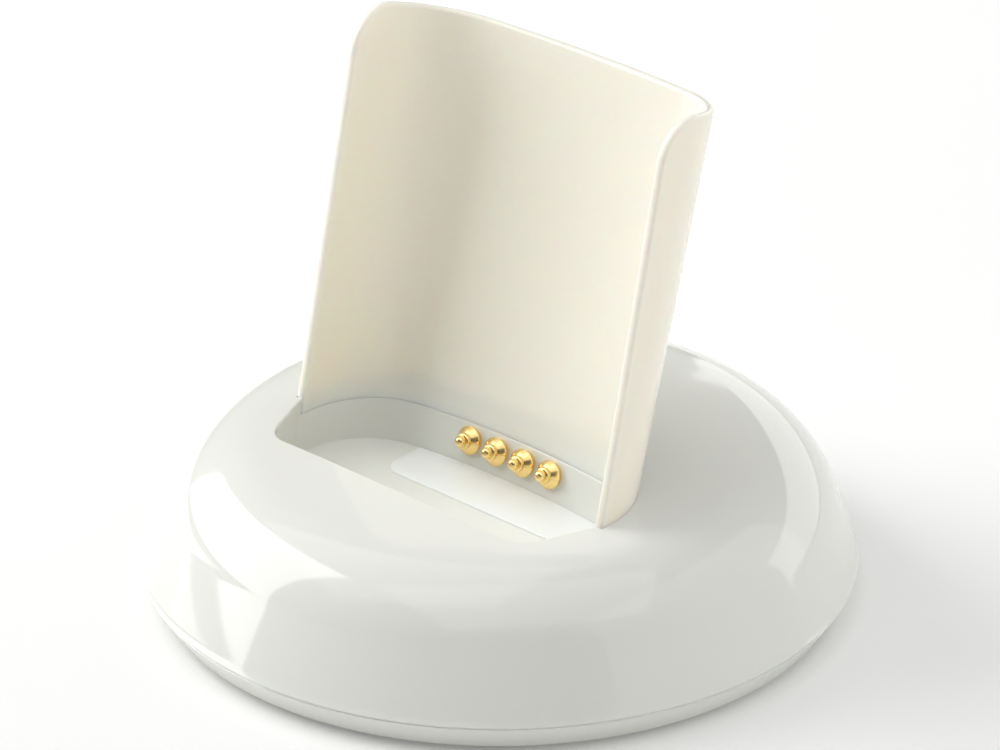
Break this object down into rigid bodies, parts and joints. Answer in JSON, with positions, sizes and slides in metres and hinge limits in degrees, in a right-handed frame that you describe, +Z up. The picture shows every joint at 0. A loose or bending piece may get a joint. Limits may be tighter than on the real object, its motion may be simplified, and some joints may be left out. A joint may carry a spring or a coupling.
{
  "type": "pipette controller charging stand",
  "caption": "Round domed charging stand with a leaning U-section back support, a pocket for a hand-held pipette controller and a row of spring contacts.",
  "frame": {"origin": "on the bench under the centre of the round base", "axes": "+Z up, -Y to the front, where the controller is put in, +X to the right seen from the front; the back support leans to +Y"},
  "size_m": [0.0998, 0.0998, 0.0765],
  "materials": {
    "cool_white_plastic": "glossy moulded",
    "ivory_plastic": "satin-gloss moulded",
    "gold_plate": "polished gold plate",
    "spring_steel": "drawn wire",
    "screw_steel": "zinc plated",
    "plate_steel": "rolled, zinc plated",
    "rubber": "matt",
    "black_plastic": "satin",
    "board_green": "solder mask",
    "header_nylon": "matt nylon",
    "ferrite": "matt",
    "can_aluminium": "drawn can",
    "cable_grey": "matt"
  },
  "bodies": {
    "stand": {"back_support": "ivory_plastic", "ballast_plate": "plate_steel", "ballast_screws": "screw_steel", "board_screws": "screw_steel", "bottom_cover": "cool_white_plastic", "capacitors": "can_aluminium", "carrier_screws": "screw_steel", "charge_chip": "black_plastic", "choke": "ferrite", "contact_barrel_1": "gold_plate", "contact_barrel_2": "gold_plate", "contact_barrel_3": "gold_plate", "contact_barrel_4": "gold_plate", "contact_board": "board_green", "contact_carrier": "black_plastic", "contact_header": "header_nylon", "contact_spring_1": "spring_steel", "contact_spring_2": "spring_steel", "contact_spring_3": "spring_steel", "contact_spring_4": "spring_steel", "cover_screws": "screw_steel", "jack_pin": "spring_steel", "main_board": "board_green", "main_header": "header_nylon", "power_jack": "black_plastic", "ribbon_cable": "cable_grey", "rubber_foot_1": "rubber", "rubber_foot_2": "rubber", "rubber_foot_3": "rubber", "rubber_foot_4": "rubber", "upper_housing": "cool_white_plastic"},
    "plunger_1": {"contact_plunger_1": "gold_plate"},
    "plunger_2": {"contact_plunger_2": "gold_plate"},
    "plunger_3": {"contact_plunger_3": "gold_plate"},
    "plunger_4": {"contact_plunger_4": "gold_plate"}
  },
  "joints": [
    {"name": "contact_press_1", "type": "slide", "parent": "stand", "child": "plunger_1", "axis": [0, 0.9636, -0.2672], "range_m": [0, 0.0009], "stiffness_N_per_m": 700, "springref_m": -0.0006, "deforming": ["contact_spring_1"]},
    {"name": "contact_press_2", "type": "slide", "parent": "stand", "child": "plunger_2", "axis": [0, 0.9636, -0.2672], "range_m": [0, 0.0009], "stiffness_N_per_m": 700, "springref_m": -0.0006, "deforming": ["contact_spring_2"]},
    {"name": "contact_press_3", "type": "slide", "parent": "stand", "child": "plunger_3", "axis": [0, 0.9636, -0.2672], "range_m": [0, 0.0009], "stiffness_N_per_m": 700, "springref_m": -0.0006, "deforming": ["contact_spring_3"]},
    {"name": "contact_press_4", "type": "slide", "parent": "stand", "child": "plunger_4", "axis": [0, 0.9636, -0.2672], "range_m": [0, 0.0009], "stiffness_N_per_m": 700, "springref_m": -0.0006, "deforming": ["contact_spring_4"]}
  ]
}
